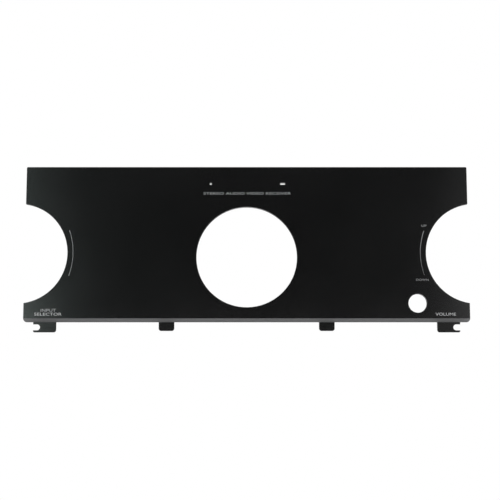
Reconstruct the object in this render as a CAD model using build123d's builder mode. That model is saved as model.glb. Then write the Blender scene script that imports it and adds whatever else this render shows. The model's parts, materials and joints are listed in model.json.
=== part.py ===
"""Centre front panel of a stereo receiver, with the brackets that hold it on the chassis.

The plate stands upright: +X to the right as seen from the front, +Y to the rear, +Z up.
The origin is the centre of the porthole on the plate's rear face. Millimetres throughout.
"""

from build123d import *

import os
from math import cos, radians, sin, tan

# ---- Plate -------------------------------------------------------------------------------------
plate_width = 286.0
plate_thickness = 3.0
round_radius = 32.5  # the porthole and both knob cut-outs are the same circle
band_above = 26.3  # plate above the porthole
band_below = 9.5  # plate below the porthole
top_corner_radius = 0.8
bottom_corner_radius = 2.0
lower_bevel = 2.35  # 45 degree bevel along the lower front edge
edge_break = 0.1  # fine chamfer on the other front edges

# ---- Openings in the plate ---------------------------------------------------------------------
knob_overhang = 5.0  # a knob's centre lies this far outside the plate's end
knob_rise = 2.3  # and this far above the porthole's centre
button_radius = 6.0
button_gap = 11.6  # plate between the button hole and the knob's circle
button_direction = 220.1  # degrees round the right knob's centre
badge_drop = 11.0  # badge pin holes below the top edge
badge_pitch = 46.7
badge_hole_radius = 0.7
badge_slot_length = 3.5
badge_slot_width = 1.2

# ---- Brackets ----------------------------------------------------------------------------------
bracket_thickness = 1.2
bend_inner_radius = 0.6
foot_height = 10.0
foot_rest = 0.5  # lower brackets' feet end this far above the plate's lower edge
stud_below_fold = 5.7  # stud centres below a foot's folded top edge
stiffener_depth = 5.6  # fold along the top of the lower brackets

hook_inset = 13.25  # tab centre from the plate's end
hook_tab_width = 14.7
hook_foot_width = 22.0
hook_slot_radius = 1.9
hook_slot_depth = 4.4
hook_upper_lip = 1.3  # tab between the plate's lower edge and the slot
hook_lower_lip = 1.3
hook_lip_radius = 0.9  # outer corner of the lower lip

tongue_pitch = 103.0
tongue_width = 10.0
tongue_foot_width = 20.0
tongue_drop = 5.5  # below the plate's lower edge
tab_corner_radius = 1.6
tab_edge_round = 0.35  # rolled front edge that blanking leaves on the tabs

top_pitch = 148.0
top_foot_width = 24.0
top_foot_height = 13.0
top_inset = 1.6  # fold below the plate's top edge
top_flange_depth = 16.0
top_hole_radius = 1.7
top_hole_edge = 6.0  # hole centre from the flange's rear edge
top_flange_corner = 3.0

# ---- Fasteners ---------------------------------------------------------------------------------
stud_radius = 1.5
stud_head_radius = 2.8
stud_head_thickness = 1.6
stud_tail = 1.0  # stud that shows beyond its nut
stud_end_chamfer = 0.35
stud_edge_distance = 4.5  # stud centre from a foot's side
nut_across_flats = 5.5
nut_height = 2.4
nut_face_radius = 2.6  # flat face inside the turned corners
nut_corner_angle = 30.0  # degrees between the turned corners and the face
washer_radius = 3.0
washer_thickness = 0.4
washer_teeth = 10
washer_tooth_depth = 0.6
washer_notch_width = 0.6

# ---- Foam and felt -----------------------------------------------------------------------------
gasket_setback = 2.5  # gasket outside the porthole's edge
gasket_width = 4.5
gasket_thickness = 2.0
pad_width = 9.0
pad_length = 40.0
pad_thickness = 1.5
pad_corner_radius = 1.5

# ---- Clearances --------------------------------------------------------------------------------
stud_hole_clearance = 0.2  # bracket hole round a stud
washer_hole_clearance = 0.1
thread_clearance = 0.03
press_clearance = 0.02  # stud head in its blind hole

# ---- Derived places ----------------------------------------------------------------------------
half_width = plate_width / 2
plate_top = round_radius + band_above
plate_bottom = -(round_radius + band_below)
knob_x = half_width + knob_overhang
button_reach = round_radius + button_gap + button_radius
button_x = knob_x + button_reach * cos(radians(button_direction))
button_z = knob_rise + button_reach * sin(radians(button_direction))
badge_z = plate_top - badge_drop

hook_x = half_width - hook_inset
hook_slot_z = plate_bottom - hook_upper_lip - hook_slot_radius
hook_tab_bottom = hook_slot_z - hook_slot_radius - hook_lower_lip
tongue_x = tongue_pitch / 2
tongue_bottom = plate_bottom - tongue_drop
lower_foot_bottom = plate_bottom + foot_rest
lower_foot_top = lower_foot_bottom + foot_height

top_x = top_pitch / 2
top_foot_top = plate_top - top_inset
top_foot_bottom = top_foot_top - top_foot_height
top_hole_y = top_flange_depth - top_hole_edge

gasket_inner = round_radius + gasket_setback
gasket_outer = gasket_inner + gasket_width
pad_x = (gasket_outer + knob_x - round_radius) / 2

washer_face = bracket_thickness
nut_face = washer_face + washer_thickness
stud_end = nut_face + nut_height + stud_tail


def stud_pair(centre_x, foot_width, foot_top):
    """The two stud centres of a foot, in the plate's plane."""
    reach = foot_width / 2 - stud_edge_distance
    height = foot_top - stud_below_fold
    return [(centre_x - reach, height), (centre_x + reach, height)]


def both_sides(centre_x, foot_width, foot_top):
    """The stud centres of a left and a right bracket."""
    left = stud_pair(-centre_x, foot_width, foot_top)
    return left + stud_pair(centre_x, foot_width, foot_top)


stud_places = {
    "hook": both_sides(hook_x, hook_foot_width, lower_foot_top),
    "tongue": both_sides(tongue_x, tongue_foot_width, lower_foot_top),
    "top": both_sides(top_x, top_foot_width, top_foot_top),
}

# Sketches in the plate's plane use Plane.XZ, whose normal points to the front (-Y): a positive
# extrusion goes forwards into the plate, and a negative one goes rearwards behind it.


# ---- Face plate --------------------------------------------------------------------------------
with BuildPart() as face_plate:
    with BuildSketch(Plane.XZ) as outline:
        with BuildLine():
            Polyline(
                (-half_width, plate_bottom),
                (half_width, plate_bottom),
                (half_width, plate_top),
                (-half_width, plate_top),
                close=True,
            )
        make_face()
        fillet(outline.vertices().group_by(Axis.Y)[0], bottom_corner_radius)
        fillet(outline.vertices().group_by(Axis.Y)[-1], top_corner_radius)
        with Locations((0, 0), (-knob_x, knob_rise), (knob_x, knob_rise)):
            Circle(round_radius, mode=Mode.SUBTRACT)
        with Locations((button_x, button_z)):
            Circle(button_radius, mode=Mode.SUBTRACT)
        with Locations((-badge_pitch / 2, badge_z)):
            Circle(badge_hole_radius, mode=Mode.SUBTRACT)
        with Locations((badge_pitch / 2, badge_z)):
            SlotOverall(badge_slot_length, badge_slot_width, mode=Mode.SUBTRACT)
    extrude(amount=plate_thickness)
    front_face = face_plate.faces().sort_by(Axis.Y)[0]
    chamfer(front_face.edges(), edge_break)
    with BuildSketch(Plane.YZ.offset(-half_width)):
        with BuildLine():
            Polyline(
                (-plate_thickness, plate_bottom),
                (-plate_thickness, plate_bottom + lower_bevel),
                (-plate_thickness + lower_bevel, plate_bottom),
                close=True,
            )
        make_face()
    extrude(amount=plate_width, mode=Mode.SUBTRACT)
    with BuildSketch(Plane.XZ):
        for places in stud_places.values():
            with Locations(*places):
                Circle(stud_head_radius + press_clearance)
    extrude(amount=stud_head_thickness, mode=Mode.SUBTRACT)


# ---- Brackets ----------------------------------------------------------------------------------
def folded_foot(centre_x, width, bottom, top, depth):
    """A foot flat on the plate's back, folded rearwards along its top edge, as one bent strip."""
    inner = bracket_thickness
    with BuildSketch(Plane.YZ.offset(centre_x - width / 2)) as section:
        with BuildLine():
            Polyline(
                (0, bottom),
                (0, top),
                (depth, top),
                (depth, top - inner),
                (inner, top - inner),
                (inner, bottom),
                close=True,
            )
        make_face()
        outer_bend = section.vertices().sort_by_distance((0, top))[0]
        fillet(outer_bend, bend_inner_radius + bracket_thickness)
        inner_bend = section.vertices().sort_by_distance((inner, top - inner))[0]
        fillet(inner_bend, bend_inner_radius)
    extrude(section.sketch, amount=width)


def stud_holes(places):
    """Clearance holes for a foot's studs."""
    with BuildSketch(Plane.XZ) as holes:
        with Locations(*places):
            Circle(stud_radius + stud_hole_clearance)
    extrude(holes.sketch, amount=-bracket_thickness, mode=Mode.SUBTRACT)


def rolled_edges(bracket):
    """The front edges of a tab's sides, slot and bottom, below the plate."""
    front_edges = bracket.edges().group_by(Axis.Y)[0]
    return front_edges.filter_by(lambda edge: edge.center().Z < lower_foot_bottom)


def hook_bracket(side):
    """Bracket near one end of the plate, side -1 or 1, whose tab has a U-slot open outwards."""
    centre_x = side * hook_x
    tab_height = lower_foot_bottom - hook_tab_bottom
    slot_x = side * (hook_x + hook_tab_width / 2 - hook_slot_depth + hook_slot_radius)
    with BuildPart() as bracket:
        folded_foot(centre_x, hook_foot_width, lower_foot_bottom, lower_foot_top, stiffener_depth)
        with BuildSketch(Plane.XZ) as tab:
            with Locations((centre_x, hook_tab_bottom + tab_height / 2)):
                Rectangle(hook_tab_width, tab_height)
            inner_to_outer = tab.vertices().group_by(Axis.Y)[0].sort_by(Axis.X)[::side]
            fillet(inner_to_outer[-1], hook_lip_radius)
            inner_to_outer = tab.vertices().group_by(Axis.Y)[0].sort_by(Axis.X)[::side]
            fillet(inner_to_outer[0], tab_corner_radius)
            with Locations((slot_x, hook_slot_z)):
                Circle(hook_slot_radius, mode=Mode.SUBTRACT)
            with Locations((slot_x + side * hook_slot_depth / 2, hook_slot_z)):
                Rectangle(hook_slot_depth, 2 * hook_slot_radius, mode=Mode.SUBTRACT)
        extrude(amount=-bracket_thickness)
        fillet(rolled_edges(bracket), tab_edge_round)
        stud_holes(stud_pair(centre_x, hook_foot_width, lower_foot_top))
    return bracket


def tongue_bracket(side):
    """Bracket beside the porthole, side -1 or 1, with a plain locating tongue."""
    centre_x = side * tongue_x
    tongue_height = lower_foot_bottom - tongue_bottom
    with BuildPart() as bracket:
        folded_foot(centre_x, tongue_foot_width, lower_foot_bottom, lower_foot_top, stiffener_depth)
        with BuildSketch(Plane.XZ) as tongue:
            with Locations((centre_x, tongue_bottom + tongue_height / 2)):
                Rectangle(tongue_width, tongue_height)
            fillet(tongue.vertices().group_by(Axis.Y)[0], tab_corner_radius)
        extrude(amount=-bracket_thickness)
        fillet(rolled_edges(bracket), tab_edge_round)
        stud_holes(stud_pair(centre_x, tongue_foot_width, lower_foot_top))
    return bracket


def top_bracket(side):
    """Angle behind the top edge, side -1 or 1, with a screw hole in its rearward flange."""
    centre_x = side * top_x
    with BuildPart() as bracket:
        folded_foot(centre_x, top_foot_width, top_foot_bottom, top_foot_top, top_flange_depth)
        rear_corners = bracket.edges().filter_by(Axis.Z).group_by(Axis.Y)[-1]
        fillet(rear_corners, top_flange_corner)
        lower_corners = bracket.edges().filter_by(Axis.Y).group_by(Axis.Z)[0]
        fillet(lower_corners, tab_corner_radius)
        with BuildSketch(Plane.XY.offset(top_foot_top)):
            with Locations((centre_x, top_hole_y)):
                Circle(top_hole_radius)
        extrude(amount=-bracket_thickness, mode=Mode.SUBTRACT)
        stud_holes(stud_pair(centre_x, top_foot_width, top_foot_top))
    return bracket


brackets = {
    "left_hook_bracket": hook_bracket(-1),
    "right_hook_bracket": hook_bracket(1),
    "left_tongue_bracket": tongue_bracket(-1),
    "right_tongue_bracket": tongue_bracket(1),
    "left_top_bracket": top_bracket(-1),
    "right_top_bracket": top_bracket(1),
}


# ---- Fasteners ---------------------------------------------------------------------------------
def studs(places):
    """Concealed-head studs: the head fills its blind hole, and the shank stands out of the back."""
    with BuildPart() as group:
        with BuildSketch(Plane.XZ):
            with Locations(*places):
                Circle(stud_head_radius)
        extrude(amount=stud_head_thickness)
        with BuildSketch(Plane.XZ):
            with Locations(*places):
                Circle(stud_radius)
        extrude(amount=-stud_end)
        rear_edges = group.edges().group_by(Axis.Y)[-1]
        chamfer(rear_edges, stud_end_chamfer)
    return group


def toothed_washers(places):
    """Lock washers with external teeth, flat on the bracket's foot."""
    notch_radius = washer_radius - washer_tooth_depth / 2
    with BuildPart() as group:
        with BuildSketch(Plane.XZ.offset(-washer_face)):
            with Locations(*places):
                Circle(washer_radius)
                Circle(stud_radius + washer_hole_clearance, mode=Mode.SUBTRACT)
                with PolarLocations(notch_radius, washer_teeth):
                    Rectangle(washer_tooth_depth, washer_notch_width, mode=Mode.SUBTRACT)
        extrude(amount=-washer_thickness)
    return group


def single_nut():
    """A hexagon nut on the porthole's axis, its corners turned off at both faces."""
    turned_radius = nut_across_flats / 2 / cos(radians(180 / 6)) + thread_clearance
    turned_depth = (turned_radius - nut_face_radius) * tan(radians(nut_corner_angle))
    with BuildPart() as nut:
        with BuildSketch(Plane.XZ.offset(-nut_face)):
            RegularPolygon(nut_across_flats / 2, 6, major_radius=False)
            Circle(stud_radius + thread_clearance, mode=Mode.SUBTRACT)
        extrude(amount=-nut_height)
        with BuildSketch(Plane.XY):
            with BuildLine():
                Polyline(
                    (0, nut_face),
                    (nut_face_radius, nut_face),
                    (turned_radius, nut_face + turned_depth),
                    (turned_radius, nut_face + nut_height - turned_depth),
                    (nut_face_radius, nut_face + nut_height),
                    (0, nut_face + nut_height),
                    close=True,
                )
            make_face()
        revolve(axis=Axis.Y, mode=Mode.INTERSECT)
    return nut


def nuts(places):
    """Hexagon nuts on the washers."""
    nut = single_nut()
    with BuildPart() as group:
        with Locations(*[(x, 0, z) for x, z in places]):
            add(nut.part)
    return group


# ---- Foam and felt -----------------------------------------------------------------------------
with BuildPart() as porthole_gasket:
    with BuildSketch(Plane.XZ):
        Circle(gasket_outer)
        Circle(gasket_inner, mode=Mode.SUBTRACT)
    extrude(amount=-gasket_thickness)


def felt_pad(side):
    """Upright felt strip midway between the gasket and a knob cut-out, side -1 or 1."""
    with BuildPart() as pad:
        with BuildSketch(Plane.XZ):
            with Locations((side * pad_x, 0)):
                RectangleRounded(pad_width, pad_length, pad_corner_radius)
        extrude(amount=-pad_thickness)
    return pad


# ---- Export ------------------------------------------------------------------------------------
pieces = {"face_plate": face_plate, **brackets}
for bracket_kind, places in stud_places.items():
    pieces[f"{bracket_kind}_bracket_studs"] = studs(places)
    pieces[f"{bracket_kind}_bracket_washers"] = toothed_washers(places)
    pieces[f"{bracket_kind}_bracket_nuts"] = nuts(places)
pieces["porthole_gasket"] = porthole_gasket
pieces["left_felt_pad"] = felt_pad(-1)
pieces["right_felt_pad"] = felt_pad(1)

os.makedirs("parts", exist_ok=True)
for name, piece in pieces.items():
    piece.part.label = name
    export_step(piece.part, f"parts/{name}.step")
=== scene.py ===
# %% [markdown]
# # Centre front panel of a stereo receiver
# The real piece is a black anodised aluminium plate, three millimetres thick, with a round porthole for the
# display, two round bites for the knobs and one small hole for a button. Six pressed steel brackets hold it
# on the chassis from behind. The solids come from the design file, so this script adds only what the eye
# reads: finishes, printed legends, screw threads, foam and felt, and then a studio to look at them in.

# %% Load the frame
import json
import math

import bmesh
import bpy
from mathutils import Matrix, Vector, noise as value_noise


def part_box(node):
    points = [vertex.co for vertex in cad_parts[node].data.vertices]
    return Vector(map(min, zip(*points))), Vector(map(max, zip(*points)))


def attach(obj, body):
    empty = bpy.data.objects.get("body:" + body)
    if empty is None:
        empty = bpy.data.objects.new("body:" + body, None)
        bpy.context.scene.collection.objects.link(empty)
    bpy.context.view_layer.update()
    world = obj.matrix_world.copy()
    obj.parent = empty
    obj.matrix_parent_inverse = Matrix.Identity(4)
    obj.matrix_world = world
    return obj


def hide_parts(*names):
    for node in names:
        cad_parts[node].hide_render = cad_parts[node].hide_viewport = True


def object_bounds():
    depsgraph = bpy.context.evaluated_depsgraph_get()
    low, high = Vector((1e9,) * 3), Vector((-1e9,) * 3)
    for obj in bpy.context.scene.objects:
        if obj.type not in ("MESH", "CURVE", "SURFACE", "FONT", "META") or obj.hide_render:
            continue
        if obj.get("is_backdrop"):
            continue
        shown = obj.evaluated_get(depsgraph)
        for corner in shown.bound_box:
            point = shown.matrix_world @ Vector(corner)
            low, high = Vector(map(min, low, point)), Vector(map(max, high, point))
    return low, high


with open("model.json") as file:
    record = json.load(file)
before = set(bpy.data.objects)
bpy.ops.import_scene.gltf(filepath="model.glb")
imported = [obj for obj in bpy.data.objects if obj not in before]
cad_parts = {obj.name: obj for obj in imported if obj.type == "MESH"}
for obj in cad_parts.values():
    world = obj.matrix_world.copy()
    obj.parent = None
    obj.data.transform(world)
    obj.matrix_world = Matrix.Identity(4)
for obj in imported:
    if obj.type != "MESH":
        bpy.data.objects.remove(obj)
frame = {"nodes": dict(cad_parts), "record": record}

cad_low, cad_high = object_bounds()
print("nodes:", ", ".join(sorted(frame["nodes"])))

# %% [markdown]
# ## Sizes that the looks share
# Everything is in metres. Places come from the boxes of the solids and from the record's mounts, so a
# legend stays beside its knob if the design changes. The other way, typing each place by hand, breaks at
# the first change of size. The knobs' overhang is how far their centres lie outside the plate's ends.

# %% Shared sizes
MM = 0.001
plate_low, plate_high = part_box("face_plate")
front_y = plate_low[1]
mounts = {mount["name"]: mount for mount in frame["record"]["mounts"]}
porthole_radius = mounts["porthole"]["dims"]["r_mm"] * MM
knob_rise = mounts["right_knob_cutout"]["pos_m"][2]
KNOB_OVERHANG = 5.0 * MM
knob_x = plate_high[0] + KNOB_OVERHANG
badge_z = mounts["badge_pin_hole"]["pos_m"][2]
print(f"plate {plate_high[0] - plate_low[0]:.4f} m wide, front at y = {front_y:.4f}")

# %% [markdown]
# ## A start for every finish
# Each finish on the panel is a small node tree on one Principled shader. All of them read Object
# coordinates, which here are metres on the real part, so a grain of a tenth of a millimetre is asked for as
# a scale of 1 / 0.1 mm. Generated coordinates would stretch with each piece's own box and give every part a
# different grain.

# %% Finish helpers
def start_finish(name):
    """A new material with its Principled shader and Object coordinates."""
    material = bpy.data.materials.new(name)
    material.use_nodes = True
    tree = material.node_tree
    shader = tree.nodes["Principled BSDF"]
    place = tree.nodes.new("ShaderNodeTexCoord").outputs["Object"]
    return material, tree, shader, place


def stretch(tree, place, scale=(1, 1, 1), turn=(0, 0, 0)):
    """Turns the coordinates by degrees, then stretches them, for a grain with a direction."""
    node = tree.nodes.new("ShaderNodeMapping")
    node.inputs["Scale"].default_value = scale
    node.inputs["Rotation"].default_value = [math.radians(angle) for angle in turn]
    tree.links.new(place, node.inputs["Vector"])
    return node.outputs["Vector"]


def grain(tree, place, size, detail=2.0):
    """Soft random values around 0.5, with grains of the given size in metres."""
    node = tree.nodes.new("ShaderNodeTexNoise")
    node.inputs["Scale"].default_value = 1 / size
    node.inputs["Detail"].default_value = detail
    tree.links.new(place, node.inputs["Vector"])
    return node.outputs["Fac"]


def cells(tree, place, size):
    """Distance to the nearest of scattered points that lie about the given size apart."""
    node = tree.nodes.new("ShaderNodeTexVoronoi")
    node.inputs["Scale"].default_value = 1 / size
    tree.links.new(place, node.inputs["Vector"])
    return node.outputs["Distance"]


def spread(tree, value, low, high, start=0.3, end=0.7):
    """Maps the values from start to end onto low to high. A noise lives between about 0.3 and 0.7."""
    node = tree.nodes.new("ShaderNodeMapRange")
    node.inputs["From Min"].default_value = start
    node.inputs["From Max"].default_value = end
    node.inputs["To Min"].default_value = low
    node.inputs["To Max"].default_value = high
    tree.links.new(value, node.inputs["Value"])
    return node.outputs["Result"]


def blend_colours(tree, share, first, second):
    """Mixes two colours by a value from 0 to 1."""
    node = tree.nodes.new("ShaderNodeMix")
    node.data_type = "RGBA"
    tree.links.new(share, node.inputs[0])
    for socket, colour in ((node.inputs[6], first), (node.inputs[7], second)):
        if isinstance(colour, tuple):
            socket.default_value = (*colour, 1)
        else:
            tree.links.new(colour, socket)
    return node.outputs[2]


def blend_values(tree, share, first, second):
    """Mixes two values, plain or from other nodes, by a value from 0 to 1."""
    node = tree.nodes.new("ShaderNodeMix")
    tree.links.new(share, node.inputs[0])
    for socket, value in ((node.inputs[2], first), (node.inputs[3], second)):
        if isinstance(value, float):
            socket.default_value = value
        else:
            tree.links.new(value, socket)
    return node.outputs[0]


def bump(tree, shader, height, depth, strength=1.0):
    """Lets a height field of the given depth in metres tilt the shader's normal."""
    node = tree.nodes.new("ShaderNodeBump")
    node.inputs["Distance"].default_value = depth
    node.inputs["Strength"].default_value = strength
    tree.links.new(height, node.inputs["Height"])
    tree.links.new(node.outputs["Normal"], shader.inputs["Normal"])


def finish_node(name, material):
    """Gives a solid from the design file its finish, in place of the plain one it came with."""
    solid = frame["nodes"][name]
    solid.data.materials.clear()
    solid.data.materials.append(material)


print("finish helpers ready")

# %% [markdown]
# ## Black anodised aluminium
# The plate is blasted, anodised and dyed black. The dye leaves almost no diffuse light, so what is seen is
# the clear oxide's reflection, softened by the blasted grain. A black paint could be tried instead, but its
# rounder, flatter highlight reads as plastic; the oxide's higher index of refraction says metal.

# %% Where the bevel is
def facing(tree, direction, tightness):
    """1 where the surface faces a direction, 0 elsewhere."""
    normal = tree.nodes.new("ShaderNodeTexCoord").outputs["Normal"]
    node = tree.nodes.new("ShaderNodeVectorMath")
    node.operation = "DOT_PRODUCT"
    node.inputs[1].default_value = Vector(direction).normalized()
    tree.links.new(normal, node.inputs[0])
    return spread(tree, node.outputs["Value"], 0.0, 1.0, start=tightness, end=tightness + 0.02)


print("the bevel is found by its direction, down and to the front")

# %% [markdown]
# The lower front edge has a wide bevel, with fine streaks along its length. Its paler, fully metallic
# colour is
# painted reflection: it stands in for the bright table that the down-facing bevel mirrors. The finish finds
# the bevel by the way it faces, so the painted bright strip stays on it whatever the plate's size is.

# %% Anodised black
SATIN = 0.17
BEVEL_ROUGHNESS = 0.26


def anodised_black():
    """Satin black oxide with a fine blasted grain, and a bevel painted paler as a reflection of the table.
    """
    material, tree, shader, place = start_finish("anodised_black")
    bevel = facing(tree, (0, -1, -1), tightness=0.96)
    cloud = grain(tree, place, 45 * MM)
    blasted = grain(tree, place, 0.12 * MM, detail=3.0)
    bevel_streaks = grain(tree, stretch(tree, place, scale=(0.02, 1, 1)), 0.09 * MM, detail=2.0)
    dye = blend_colours(tree, spread(tree, cloud, 0, 1), (0.0042, 0.0043, 0.0045), (0.0056, 0.0056, 0.0058))
    # The bevel's pale metallic colour is painted reflection of the bright table below it.
    painted_bevel_reflection = blend_colours(tree, spread(tree, bevel_streaks, 0, 1), (0.200, 0.202, 0.205), (0.235, 0.237, 0.240))
    tree.links.new(blend_colours(tree, bevel, dye, painted_bevel_reflection), shader.inputs["Base Color"])
    tree.links.new(bevel, shader.inputs["Metallic"])
    satin = spread(tree, cloud, SATIN - 0.01, SATIN + 0.01)
    tree.links.new(blend_values(tree, bevel, satin, BEVEL_ROUGHNESS), shader.inputs["Roughness"])
    shader.inputs["IOR"].default_value = 1.65
    bump(tree, shader, blend_values(tree, bevel, blasted, bevel_streaks), 0.004 * MM, strength=0.35)
    return material


anodised = anodised_black()
finish_node("face_plate", anodised)
print("plate finished:", anodised.name)

# %% [markdown]
# ## Black electrocoat on pressed steel
# The brackets are blanked and folded from cold-rolled strip, then dipped in black electrocoat. The film is
# thin and even, with a faint orange peel. One noise tilts the surface for the peel, a finer one breaks up
# the gloss, and a broad one lets the black drift a little. A smooth black would look like moulded plastic.

# %% Bracket coat
def black_electrocoat():
    """Thin black paint film with orange peel over rolled steel strip."""
    material, tree, shader, place = start_finish("black_electrocoat")
    peel = grain(tree, place, 0.9 * MM, detail=1.0)
    dust = grain(tree, place, 0.15 * MM, detail=3.0)
    patch = grain(tree, place, 9 * MM)
    tree.links.new(
        blend_colours(tree, spread(tree, patch, 0, 1), (0.0044, 0.0045, 0.0047), (0.0066, 0.0068, 0.0071)),
        shader.inputs["Base Color"],
    )
    tree.links.new(spread(tree, dust, 0.17, 0.23), shader.inputs["Roughness"])
    shader.inputs["IOR"].default_value = 1.55
    bump(tree, shader, peel, 0.012 * MM, strength=0.5)
    return material


coat = black_electrocoat()
for bracket_kind in ("hook", "tongue", "top"):
    for side in ("left", "right"):
        finish_node(f"{side}_{bracket_kind}_bracket", coat)
print("six brackets coated")

# %% [markdown]
# ## Zinc-plated steel
# Small fasteners are barrel plated: they tumble together in the bath, so their corners are soft and bright
# and their faces carry a haze of tiny knocks. The clear passivation leaves a faint warm or cool tint that
# drifts from one piece to the next. One function makes all three finishes, each with its own tint and
# gloss, where three copied node trees would drift apart as they are changed.

# %% Zinc finishes
def zinc_plate(name, cool, warm, gloss):
    """Barrel-plated zinc: a metal whose tint drifts and whose faces carry small knocks."""
    material, tree, shader, place = start_finish(name)
    drift = grain(tree, place, 7 * MM, detail=1.0)
    knocks = cells(tree, place, 0.35 * MM)
    haze = grain(tree, place, 0.2 * MM, detail=4.0)
    tree.links.new(blend_colours(tree, spread(tree, drift, 0, 1), cool, warm), shader.inputs["Base Color"])
    tree.links.new(spread(tree, haze, gloss, gloss + 0.14), shader.inputs["Roughness"])
    shader.inputs["Metallic"].default_value = 1.0
    bump(tree, shader, knocks, 0.02 * MM, strength=0.25)
    return material


nut_zinc = zinc_plate("nut_zinc", (0.56, 0.57, 0.59), (0.64, 0.62, 0.57), 0.26)
washer_zinc = zinc_plate("washer_zinc", (0.46, 0.47, 0.50), (0.54, 0.53, 0.50), 0.32)
stud_zinc = zinc_plate("stud_zinc", (0.55, 0.56, 0.58), (0.62, 0.60, 0.55), 0.24)
for bracket_kind in ("hook", "tongue", "top"):
    finish_node(f"{bracket_kind}_bracket_nuts", nut_zinc)
    finish_node(f"{bracket_kind}_bracket_washers", washer_zinc)
print("zinc on nuts and washers")

# %% [markdown]
# ## From a bmesh to a piece
# A bmesh is Blender's editable mesh. Each new piece below is shaped in one with its operators, and this
# helper turns it into an object that rides on the plate's body. The object itself stays at the origin,
# unturned, and its place is in its mesh, so a pattern on Object coordinates stays on the real part.

# %% Pieces
def make_piece(name, shape, material, smooth=True):
    """Turns a finished bmesh into a piece that moves with the panel."""
    mesh = bpy.data.meshes.new(name)
    shape.to_mesh(mesh)
    shape.free()
    mesh.polygons.foreach_set("use_smooth", [smooth] * len(mesh.polygons))
    mesh.materials.append(material)
    piece = bpy.data.objects.new(name, mesh)
    bpy.context.scene.collection.objects.link(piece)
    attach(piece, "root")
    print(f"{name}: {len(mesh.polygons)} faces")
    return piece


def smooth_by_angle(piece, degrees=35):
    """Keeps edges sharper than the angle crisp, and shades the rest round."""
    piece.data.set_sharp_from_angle(angle=math.radians(degrees))


def move_to(shape, place, verts=None):
    """Moves a bmesh, or some of its vertices, by a vector."""
    bmesh.ops.translate(shape, verts=verts or shape.verts, vec=place)


# %% [markdown]
# ## Threaded studs
# Each stud is an M3 screw thread with its head pressed into a blind hole in the plate's back. A thread is a
# ridge that climbs as it turns. Stacked rings would be easier, but they show no run-out where the thread
# ends; so one pitch of the ridge is drawn as four points and spun with a climb, which is how a lathe
# cuts one. The two ends are then sliced flat and the last turn is pointed, so that a nut starts on it.

# %% Thread sizes
STUD_RADIUS = 1.5 * MM
THREAD_PITCH = 0.5 * MM
THREAD_DEPTH = 0.29 * MM
THREAD_STEPS = 28
HEAD_RADIUS = 2.8 * MM
LEAD_IN = 0.35 * MM
RIDGE_START = 0.44  # of the pitch, where the ridge's flat top begins and ends
RIDGE_END = 0.56
TURN_BETWEEN = 77  # degrees from one stud's thread to the next, so that no two look alike
TIP_DEPTH = 0.05 * MM  # vertices this close to a stud's end belong to its tip face
WELD = 1e-7


def thread_profile(shape, start):
    """One pitch of the ridge, from root to root, as a chain of edges along the stud."""
    root = STUD_RADIUS - THREAD_DEPTH
    points = [(root, 0.0), (STUD_RADIUS, RIDGE_START), (STUD_RADIUS, RIDGE_END), (root, 1.0)]
    verts = [shape.verts.new((radius, start + share * THREAD_PITCH, 0)) for radius, share in points]
    edges = [shape.edges.new(pair) for pair in zip(verts, verts[1:])]
    return verts + edges


# %% One stud
def cut_flat(shape, height, keep_above):
    """Slices the thread square to its axis, drops what lies beyond, and closes the cut."""
    bmesh.ops.bisect_plane(
        shape, geom=shape.verts[:] + shape.edges[:] + shape.faces[:], dist=1e-8,
        plane_co=(0, height, 0), plane_no=(0, 1, 0), clear_inner=keep_above, clear_outer=not keep_above,
    )
    bmesh.ops.remove_doubles(shape, verts=shape.verts, dist=WELD)
    rim = [edge for edge in shape.edges if edge.is_boundary and all(
        abs(vert.co.y - height) < 1e-6 for vert in edge.verts)]
    bmesh.ops.edgeloop_fill(shape, edges=rim)


def threaded_stud(low_y, high_y):
    """A stud on the Y axis: a threaded shank from the plate's back, on a flat pressed-in head."""
    shape = bmesh.new()
    turns = math.ceil(high_y / THREAD_PITCH) + 2
    ridge = thread_profile(shape, -THREAD_PITCH)
    bmesh.ops.spin(
        shape, geom=ridge, cent=(0, 0, 0), axis=(0, 1, 0), angle=turns * math.tau,
        dvec=(0, THREAD_PITCH / THREAD_STEPS, 0), steps=turns * THREAD_STEPS, use_merge=False,
    )
    bmesh.ops.remove_doubles(shape, verts=shape.verts, dist=WELD)
    cut_flat(shape, 0.0, keep_above=True)
    cut_flat(shape, high_y, keep_above=False)
    for vert in shape.verts:
        limit = STUD_RADIUS - max(0.0, vert.co.y - (high_y - LEAD_IN))
        radius = math.hypot(vert.co.x, vert.co.z)
        if radius > limit:
            vert.co.x *= limit / radius
            vert.co.z *= limit / radius
    head = bmesh.ops.create_cone(
        shape, cap_ends=True, segments=48, radius1=HEAD_RADIUS, radius2=HEAD_RADIUS, depth=-low_y,
        matrix=Matrix.Translation((0, low_y / 2, 0)) @ Matrix.Rotation(math.radians(90), 4, "X"),
    )
    rims = [edge for edge in shape.edges if edge.verts[0] in head["verts"] and len(edge.link_faces) == 2
            and any(len(face.verts) > 4 for face in edge.link_faces)]
    bmesh.ops.bevel(
        shape, geom=rims, offset=0.15 * MM, segments=2, profile=0.5, affect="EDGES", material=-1,
    )
    bmesh.ops.recalc_face_normals(shape, faces=shape.faces)
    return shape


# %% All twelve studs
def stud_centres(node):
    """The middles of a group's four studs, read from the tip faces of the solids."""
    low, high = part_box(node)
    tips = [vert.co for vert in frame["nodes"][node].data.vertices if vert.co.y > high[1] - TIP_DEPTH]
    centres = []
    for tip in tips:
        near = [centre for centre in centres if (centre[0] - tip).length < 2 * STUD_RADIUS]
        if near:
            near[0].append(tip)
        else:
            centres.append([tip])
    return [sum(group, Vector()) / len(group) for group in centres]


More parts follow.
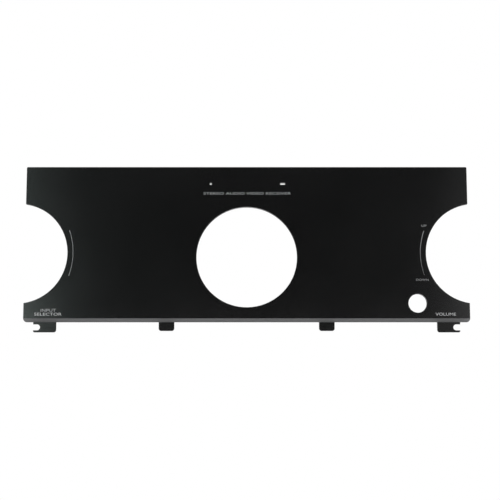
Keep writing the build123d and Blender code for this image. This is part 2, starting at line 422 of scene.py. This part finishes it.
for bracket_kind in ("hook", "tongue", "top"):
    node = f"{bracket_kind}_bracket_studs"
    low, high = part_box(node)
    group = bmesh.new()
    for turn, centre in enumerate(stud_centres(node)):
        stud = threaded_stud(low[1], high[1])
        twist = Matrix.Rotation(math.radians(TURN_BETWEEN * turn), 3, "Y")
        bmesh.ops.rotate(stud, verts=stud.verts, matrix=twist)
        move_to(stud, (centre.x, 0, centre.z))
        one = bpy.data.meshes.new("one_stud")
        stud.to_mesh(one)
        stud.free()
        group.from_mesh(one)
        bpy.data.meshes.remove(one)
    threaded = make_piece(f"{bracket_kind}_threaded_studs", group, stud_zinc)
    smooth_by_angle(threaded, 30)
    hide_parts(node)

# %% [markdown]
# ## Foam ring
# A ring of closed-cell foam seals the porthole against the display behind it. It is die cut from sheet, so
# its sides are nearly square, but the skin pulls its free corners round and the face crowns a little
# between them. A torus would have the wrong section. A flat outline with two rounded corners, spun once
# round the porthole, gives the right one all the way.

# %% Foam finish
def closed_cell_foam():
    """Charcoal foam: a matt skin with pinholes of two sizes, painted darker inside as shade."""
    material, tree, shader, place = start_finish("closed_cell_foam")
    pores = cells(tree, place, 0.42 * MM)
    pinholes = cells(tree, place, 0.16 * MM)
    tone = grain(tree, place, 5 * MM)
    pitted = blend_values(tree, tone, pores, pinholes)
    painted_pore_shade = (0.010, 0.010, 0.011)
    skin = blend_colours(tree, spread(tree, tone, 0, 1), (0.026, 0.026, 0.028), (0.038, 0.038, 0.040))
    # The pores and pinholes are painted near-black: painted shade in the pits, which the bump also dents.
    tree.links.new(
        blend_colours(tree, spread(tree, pitted, 0, 1, start=0.12, end=0.4), painted_pore_shade, skin),
        shader.inputs["Base Color"],
    )
    tree.links.new(spread(tree, pinholes, 0.95, 0.8, start=0.1, end=0.5), shader.inputs["Roughness"])
    shader.inputs["Specular IOR Level"].default_value = 0.25
    bump(tree, shader, pitted, 0.25 * MM, strength=0.6)
    return material


foam = closed_cell_foam()
print("foam finish ready")


# %% Foam ring shape
RING_GAP = 2.5 * MM  # plate that shows between the porthole and the ring
RING_CORNER = 0.55 * MM
RING_SAG = 0.10 * MM
RING_SWELL = 0.05 * MM
SWELL_LENGTH = 3.0 * MM


def foam_ring():
    """A soft ring on the plate's back: flat where it is glued, round and slightly crowned outside."""
    low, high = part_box("porthole_gasket")
    outer = high[0]
    inner = porthole_radius + RING_GAP
    thick = high[1]
    shape = bmesh.new()
    corners = [(inner, 0), (outer, 0), (outer, thick), (inner, thick)]
    outline = [shape.verts.new((radius, y, 0)) for radius, y in corners]
    shape.faces.new(outline)
    bmesh.ops.bevel(
        shape, geom=outline[2:], offset=RING_CORNER, segments=5, profile=0.5, affect="VERTICES",
        material=-1,
    )
    bmesh.ops.subdivide_edges(
        shape, edges=[edge for edge in shape.edges if edge.calc_length() > 1.2 * MM], cuts=6,
    )
    bmesh.ops.delete(shape, geom=shape.faces[:], context="FACES_ONLY")
    bmesh.ops.spin(
        shape, geom=shape.verts[:] + shape.edges[:], cent=(0, 0, 0), axis=(0, 1, 0), angle=math.tau,
        steps=240, use_merge=True,
    )
    bmesh.ops.remove_doubles(shape, verts=shape.verts, dist=WELD)
    middle = (inner + outer) / 2
    half = (outer - inner) / 2
    for vert in shape.verts:
        radius = math.hypot(vert.co.x, vert.co.z)
        across = (radius - middle) / half
        share = vert.co.y / thick
        sag = RING_SAG * across * across * share
        swell = RING_SWELL * value_noise.noise(vert.co / SWELL_LENGTH) * share
        vert.co.y -= max(0.0, sag - swell) if share > 0.5 else 0.0
    bmesh.ops.recalc_face_normals(shape, faces=shape.faces)
    return shape


ring = make_piece("foam_ring", foam_ring(), foam)
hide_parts("porthole_gasket")

# %% [markdown]
# ## Felt pads
# Two strips of pressed wool felt keep the plate from buzzing against the chassis. Felt has no weave: its
# fibres lie every way, so three thin stretched grains at different angles stand in for them. The strip is a
# cut slab whose edges fray round, with a low crown that is lifted in steps, one inset inside the other. A
# cloth simulation would blow it up like a cushion, and felt this dense stays nearly flat.

# %% Felt finish
def pressed_felt():
    """Charcoal wool felt, a mat of fibres in three directions with a soft fuzz, darkened between the fibres
    as painted shade.
    """
    material, tree, shader, place = start_finish("pressed_felt")
    fibres = None
    for angle in (12, 71, 134):
        along = stretch(tree, place, scale=(0.12, 1, 1), turn=(0, angle, 0))
        strands = grain(tree, along, 0.11 * MM, detail=1.5)
        if fibres is None:
            fibres = strands
        else:
            lighten = tree.nodes.new("ShaderNodeMath")
            lighten.operation = "MAXIMUM"
            tree.links.new(fibres, lighten.inputs[0])
            tree.links.new(strands, lighten.inputs[1])
            fibres = lighten.outputs[0]
    painted_gap_shade = (0.016, 0.016, 0.018)
    tips = (0.075, 0.074, 0.076)
    # The colour runs from near-black in the gaps between fibres, which is painted shade, to the paler
    # fibres themselves.
    tree.links.new(
        blend_colours(tree, spread(tree, fibres, 0, 1, start=0.5, end=0.75), painted_gap_shade, tips),
        shader.inputs["Base Color"],
    )
    tree.links.new(spread(tree, fibres, 0.98, 0.85), shader.inputs["Roughness"])
    shader.inputs["Sheen Weight"].default_value = 0.5
    shader.inputs["Sheen Roughness"].default_value = 0.6
    shader.inputs["Specular IOR Level"].default_value = 0.15
    bump(tree, shader, fibres, 0.2 * MM, strength=0.8)
    return material


felt = pressed_felt()
print("felt finish ready")


# %% Felt pad shape
CROWN_STEPS = [(0.2 * MM, 0.04 * MM), (0.3 * MM, 0.035 * MM), (0.4 * MM, 0.02 * MM)]  # inward and up


def felt_strip(low, high):
    """A soft slab in the given box, glued flat at the plate and crowned at the back."""
    size = high - low
    crown = sum(rise for inset, rise in CROWN_STEPS)
    slab = size.y - crown
    shape = bmesh.new()
    bmesh.ops.create_cube(shape, size=1.0)
    bmesh.ops.scale(shape, verts=shape.verts, vec=(size.x, slab, size.z))
    upright = [edge for edge in shape.edges if abs(edge.verts[0].co.y - edge.verts[1].co.y) > slab / 2]
    bmesh.ops.bevel(
        shape, geom=upright, offset=1.5 * MM, segments=6, profile=0.5, affect="EDGES", material=-1,
    )
    back = max(shape.faces, key=lambda face: face.calc_center_median().y)
    bmesh.ops.bevel(
        shape, geom=list(back.edges), offset=0.4 * MM, segments=4, profile=0.5, affect="EDGES", material=-1,
    )
    back = max(shape.faces, key=lambda face: face.calc_center_median().y)
    for inset, rise in CROWN_STEPS:
        bmesh.ops.inset_region(shape, faces=[back], thickness=inset, depth=rise)
    move_to(shape, (low + high) / 2 - Vector((0, crown / 2, 0)))
    bmesh.ops.recalc_face_normals(shape, faces=shape.faces)
    return shape


for side in ("left", "right"):
    pad = make_piece(f"{side}_felt_strip", felt_strip(*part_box(f"{side}_felt_pad")), felt)
    smooth_by_angle(pad, 40)
    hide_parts(f"{side}_felt_pad")

# %% [markdown]
# ## Screen-printed legends
# The words and arcs are pale grey ink, pushed through a screen: a film a few hundredths of a millimetre
# thick. They could be drawn into the plate's own material, but then they would have no edge and would blur
# close up. A text object turned into a thin closed mesh keeps its outline at any distance. The smallest
# words, the title and the arcs get a lighter film, and the lowest words the heaviest.

# %% Ink finish
def screen_ink(name, thinnest, thickest):
    """Pale grey ink whose film thins here and there, where the mesh of the screen left less."""
    material, tree, shader, place = start_finish(name)
    screen = cells(tree, place, 0.12 * MM)
    film = grain(tree, place, 0.8 * MM)
    thin = blend_values(tree, film, screen, film)
    tree.links.new(
        blend_colours(tree, spread(tree, thin, 0, 1, start=0.1, end=0.6), thinnest, thickest),
        shader.inputs["Base Color"],
    )
    tree.links.new(spread(tree, film, 0.42, 0.55), shader.inputs["Roughness"])
    bump(tree, shader, screen, 0.008 * MM, strength=0.4)
    return material


INK_THICKNESS = 0.03 * MM
INK_SUNK = 0.01 * MM
light_ink = screen_ink("light_ink", (0.28, 0.28, 0.29), (0.39, 0.39, 0.40))
even_ink = screen_ink("even_ink", (0.36, 0.36, 0.37), (0.50, 0.50, 0.51))
heavy_ink = screen_ink("heavy_ink", (0.50, 0.50, 0.51), (0.70, 0.70, 0.71))
print("three inks ready")


# %% A word in ink
def printed_word(name, body, centre, width, height, ink):
    """Capitals on the plate's front, as wide and as high as asked, centred on a point (x, z)."""
    curve = bpy.data.curves.new(name, "FONT")
    curve.body = body
    curve.align_x = "CENTER"
    curve.extrude = 0.5
    curve.resolution_u = 4
    source = bpy.data.objects.new(name + "_source", curve)
    bpy.context.scene.collection.objects.link(source)
    bpy.context.view_layer.update()
    mesh = bpy.data.meshes.new_from_object(source.evaluated_get(bpy.context.evaluated_depsgraph_get()))
    bpy.data.objects.remove(source)
    shape = bmesh.new()
    shape.from_mesh(mesh)
    bpy.data.meshes.remove(mesh)
    bmesh.ops.remove_doubles(shape, verts=shape.verts, dist=1e-5)
    low = Vector([min(vert.co[axis] for vert in shape.verts) for axis in range(3)])
    high = Vector([max(vert.co[axis] for vert in shape.verts) for axis in range(3)])
    move_to(shape, -(low + high) / 2)
    size = high - low
    bmesh.ops.scale(shape, verts=shape.verts, vec=(width / size.x, height / size.y, INK_THICKNESS / size.z))
    bmesh.ops.rotate(shape, verts=shape.verts, matrix=Matrix.Rotation(math.radians(90), 3, "X"))
    move_to(shape, (centre[0], front_y - INK_THICKNESS / 2 + INK_SUNK, centre[1]))
    bmesh.ops.recalc_face_normals(shape, faces=shape.faces)
    return make_piece(name, shape, ink, smooth=False)


# %% [markdown]
# ### The words
# Each word stands beside what it names, so its place is worked out from the knob's centre, the badge's
# holes or the plate's lower edge. Capitals of one to two millimetres are ordinary panel lettering. All the
# words are plain descriptions, in the font that Blender starts with.

# %% Words
TITLE_HEIGHT = 1.65 * MM
CAPITALS = 1.85 * MM
SMALL_CAPITALS = 1.35 * MM
line_under_knob = plate_low[2] + 5.05 * MM
line_above_it = plate_low[2] + 7.5 * MM
title = "STEREO AUDIO VIDEO RECEIVER"
title_centre = (0.35 * MM, badge_z - 6.4 * MM)
selector_centre = (-(knob_x - 20.85 * MM), line_under_knob)
input_centre = (-(knob_x - 21.0 * MM), line_above_it)
volume_centre = (knob_x - 20.6 * MM, line_under_knob)
up_centre = (knob_x - 33.4 * MM, knob_rise + 17.9 * MM)
down_centre = (knob_x - 35.1 * MM, knob_rise - 17.15 * MM)
printed_word("title_legend", title, title_centre, 56.7 * MM, TITLE_HEIGHT, light_ink)
printed_word("selector_legend", "SELECTOR", selector_centre, 17.5 * MM, CAPITALS, heavy_ink)
printed_word("input_legend", "INPUT", input_centre, 9.8 * MM, CAPITALS, even_ink)
printed_word("volume_legend", "VOLUME", volume_centre, 13.1 * MM, CAPITALS, heavy_ink)
printed_word("up_legend", "UP", up_centre, 3.3 * MM, SMALL_CAPITALS, light_ink)
printed_word("down_legend", "DOWN", down_centre, 8.0 * MM, SMALL_CAPITALS, light_ink)

# %% [markdown]
# ### The arcs
# A thin line follows each knob, a little flatter than its cut-out, so that it drifts away from the edge
# towards its ends. The left one swells at both ends. The right one starts heavy at the top and thins
# towards the bottom, to say which way is louder. A small square spun through the arc's angle makes both,
# and then each point is moved from the middle line by a rule of its share of the way along. A curve with a
# taper object would also do, but needs one more object for it.

# %% Arcs
ARC_GAP = 3.6 * MM  # from the cut-out's edge to the line, halfway along
ARC_FLATTER = 7.4 * MM  # by this much the line's radius is larger than a concentric one
ARC_RADIUS = porthole_radius + ARC_GAP + ARC_FLATTER
ARC_WIDTH = 0.27 * MM
ARC_STEPS = 72


def printed_arc(name, side, start, end, width_at):
    """An ink line round a knob from one angle to another, side -1 or 1, wide by a rule of its length."""
    centre = Vector((side * (knob_x + ARC_FLATTER), 0, knob_rise))
    near_y = front_y - INK_THICKNESS + INK_SUNK
    far_y = front_y + INK_SUNK
    inner = ARC_RADIUS - ARC_WIDTH / 2
    outer = ARC_RADIUS + ARC_WIDTH / 2
    shape = bmesh.new()
    strip = shape.faces.new([
        shape.verts.new((radius, y, 0))
        for radius, y in ((inner, near_y), (inner, far_y), (outer, far_y), (outer, near_y))
    ])
    bmesh.ops.rotate(shape, verts=shape.verts, matrix=Matrix.Rotation(math.radians(-start), 3, "Y"))
    sweep = math.radians(end - start)
    bmesh.ops.spin(
        shape, geom=[strip], cent=(0, 0, 0), axis=(0, -1, 0), angle=sweep, steps=ARC_STEPS,
        use_merge=False, use_duplicate=False,
    )
    for vert in shape.verts:
        angle = math.atan2(vert.co.z, vert.co.x)
        share = (angle - math.radians(start)) / sweep
        radius = math.hypot(vert.co.x, vert.co.z)
        wanted = ARC_RADIUS + (radius - ARC_RADIUS) * width_at(share)
        vert.co.x *= wanted / radius
        vert.co.z *= wanted / radius
    if side > 0:
        bmesh.ops.scale(shape, verts=shape.verts, vec=(-1, 1, 1))
    move_to(shape, centre)
    bmesh.ops.recalc_face_normals(shape, faces=shape.faces)
    return make_piece(name, shape, light_ink, smooth=False)


END_SWELL = 0.8
END_SHARE = 0.05
THIN_END = 0.35
THICK_END = 1.5


def rounded_ends(share):
    """Full width along the line, swelling over a short share of it at both ends."""
    from_end = min(share, 1 - share)
    return 1.0 + END_SWELL * max(0.0, 1 - from_end / END_SHARE)


def running_out(share):
    """From a third of the width at the bottom to half as wide again at the top."""
    return THIN_END + (THICK_END - THIN_END) * share


printed_arc("selector_arc", -1, -19.3, 20.0, rounded_ends)
printed_arc("volume_arc", 1, -19.0, 19.5, running_out)

# %% [markdown]
# ## Floor
# The panel stands on a plain pale table. Its top fades out with distance, so that no horizon cuts the
# picture, and its underside is clear, because the main camera looks up at the panel from just below it.
# A white wall would hide the horizon too, but the black plate would mirror it.

# %% Floor
FADE_START = 0.45
FADE_END = 1.1
TABLE_DROP = 0.02 * MM


def pale_table():
    """A matt white top that fades to nothing away from the middle and is clear from below."""
    material = bpy.data.materials.new("pale_table")
    material.use_nodes = True
    tree = material.node_tree
    tree.nodes.clear()
    place = tree.nodes.new("ShaderNodeTexCoord").outputs["Object"]
    distance = tree.nodes.new("ShaderNodeVectorMath")
    distance.operation = "LENGTH"
    tree.links.new(place, distance.inputs[0])
    fade = spread(tree, distance.outputs["Value"], 0.0, 1.0, start=FADE_START, end=FADE_END)
    clear = tree.nodes.new("ShaderNodeBsdfTransparent")
    matt = tree.nodes.new("ShaderNodeBsdfDiffuse")
    tone = blend_colours(tree, grain(tree, place, 30 * MM), (0.80, 0.80, 0.80), (0.84, 0.84, 0.84))
    tree.links.new(tone, matt.inputs["Color"])
    far = tree.nodes.new("ShaderNodeMixShader")
    tree.links.new(fade, far.inputs[0])
    tree.links.new(matt.outputs[0], far.inputs[1])
    tree.links.new(clear.outputs[0], far.inputs[2])
    below = tree.nodes.new("ShaderNodeMixShader")
    tree.links.new(tree.nodes.new("ShaderNodeNewGeometry").outputs["Backfacing"], below.inputs[0])
    tree.links.new(far.outputs[0], below.inputs[1])
    tree.links.new(clear.outputs[0], below.inputs[2])
    tree.links.new(below.outputs[0], tree.nodes.new("ShaderNodeOutputMaterial").inputs["Surface"])
    return material


table_shape = bmesh.new()
bmesh.ops.create_circle(table_shape, cap_ends=True, segments=96, radius=FADE_END)
move_to(table_shape, (0, 0, cad_low[2] - TABLE_DROP))
for face in table_shape.faces:
    if face.normal.z < 0:
        face.normal_flip()
table_mesh = bpy.data.meshes.new("table_top")
table_shape.to_mesh(table_mesh)
table_shape.free()
table_mesh.materials.append(pale_table())
table = bpy.data.objects.new("table_top", table_mesh)
bpy.context.scene.collection.objects.link(table)
table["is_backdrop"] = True
print("table at z =", round(cad_low[2], 4))

# %% [markdown]
# ## Studio light
# A glossy black plate is lit by what it mirrors, not by what shines on it. From the main camera the face
# mirrors the space above and behind the camera, so that space stays dark, and only panels beyond its ends
# let a sheen climb in from both sides, stronger and slightly cooler on the left. Each side is split by
# height, because a single panel would light the top and the bottom alike. A big softbox overhead lights
# the table and the bevel, and another one behind lights the brackets.

# %% Softboxes
def softbox(name, place, aim, width, height, power, tint=(1, 1, 1)):
    """A soft rectangular light at a place, turned to a point; sizes in metres and power in watts."""
    light = bpy.data.lights.new(name, "AREA")
    light.shape = "RECTANGLE"
    light.color = tint
    light.size = width
    light.size_y = height
    light.energy = power
    lamp = bpy.data.objects.new(name, light)
    lamp.location = place
    lamp.rotation_euler = (Vector(aim) - Vector(place)).to_track_quat("-Z", "Y").to_euler()
    lamp.visible_camera = False
    bpy.context.scene.collection.objects.link(lamp)
    return lamp


PANEL_Y = -1.3
COOL = (0.84, 1.0, 0.95)


def upright_panel(name, low_x, high_x, low_z, high_z, brightness, tint=(1, 1, 1)):
    """A softbox that stands square to the plate in front of it, with the same brightness all over."""
    width = high_x - low_x
    height = high_z - low_z
    middle = Vector(((low_x + high_x) / 2, PANEL_Y, (low_z + high_z) / 2))
    power = math.pi * width * height * brightness
    softbox(name, middle, middle - Vector((0, PANEL_Y, 0)), width, height, power, tint)


# %% Each light
softbox("overhead", (0, -0.3, 1.1), (0, -0.15, 0), 1.2, 1.2, 15.5)
softbox("behind", (0.2, 1.2, 0.8), (0, 0, 0), 1.0, 0.7, 3.0)
# An upright panel reaches from x to x and from z to z, and then comes its brightness.
upright_panel("left_low", -0.52, -0.42, -0.45, 0.0, 7.3, COOL)
upright_panel("left_middle", -0.52, -0.42, 0.0, 0.18, 1.5, COOL)
upright_panel("left_high", -0.52, -0.42, 0.18, 0.4, 0.98, COOL)
upright_panel("left_outer", -0.66, -0.52, -0.45, 0.0, 10.0, COOL)
upright_panel("far_left", -1.4, -0.9, -0.45, 0.0, 20.0, COOL)
upright_panel("right_middle", 0.42, 0.52, 0.0, 0.18, 1.62)
upright_panel("right_high", 0.42, 0.52, 0.18, 0.4, 0.52)
upright_panel("front_high", -0.42, 0.42, 0.45, 1.0, 0.45)

# %% [markdown]
# ### The room
# The world is plain white to the camera. For light and mirror images it is a dim grey in front and a paler
# grey behind, blended by direction, which keeps the face dark and the back readable. One white world for
# both would grey the face all over.

# %% World
FRONT_FILL = 0.03
REAR_FILL = 0.25
WHITE = (1, 1, 1, 1)
world = bpy.data.worlds.new("studio")
bpy.context.scene.world = world
world.use_nodes = True
room = world.node_tree
fill = room.nodes["Background"]
direction = room.nodes.new("ShaderNodeTexCoord").outputs["Generated"]
split = room.nodes.new("ShaderNodeSeparateXYZ")
room.links.new(direction, split.inputs[0])
room.links.new(
    spread(room, split.outputs["Y"], FRONT_FILL, REAR_FILL, start=0.0, end=0.35), fill.inputs["Strength"],
)
fill.inputs["Color"].default_value = WHITE
white = room.nodes.new("ShaderNodeBackground")
white.inputs["Color"].default_value = WHITE
white.inputs["Strength"].default_value = 1.0
seen = room.nodes.new("ShaderNodeMixShader")
room.links.new(room.nodes.new("ShaderNodeLightPath").outputs["Is Camera Ray"], seen.inputs[0])
room.links.new(fill.outputs[0], seen.inputs[1])
room.links.new(white.outputs[0], seen.inputs[2])
room.links.new(seen.outputs[0], room.nodes["World Output"].inputs["Surface"])
bpy.context.scene.view_settings.view_transform = "Standard"
print("room: front", FRONT_FILL, "rear", REAR_FILL)

# %% [markdown]
# ## Camera
# A product camera a little below the panel, looking slightly up, with a longish lens so that the plate's
# edges stay nearly parallel. A short lens from close by would frame the panel too, but it would make the
# middle bulge and show too much of the openings' walls.

# %% Camera
camera_data = bpy.data.cameras.new("camera")
camera = bpy.data.objects.new("camera", camera_data)
bpy.context.scene.collection.objects.link(camera)
bpy.context.scene.camera = camera
camera_data.sensor_width = 36.0
camera_data.lens = 75.6
camera.location = Vector((2.14, -674.8, -77.5)) * MM
aim = Vector((2.14, -3.0, 4.42)) * MM
camera.rotation_euler = (aim - camera.location).to_track_quat("-Z", "Y").to_euler()
print("camera at", [round(value, 4) for value in camera.location])

# %% [markdown]
# ## Visual box
# The box of the finished model is printed.

# %% Sizes out
low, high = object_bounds()
print("visual box", [round(value, 5) for value in (*low, *high)])
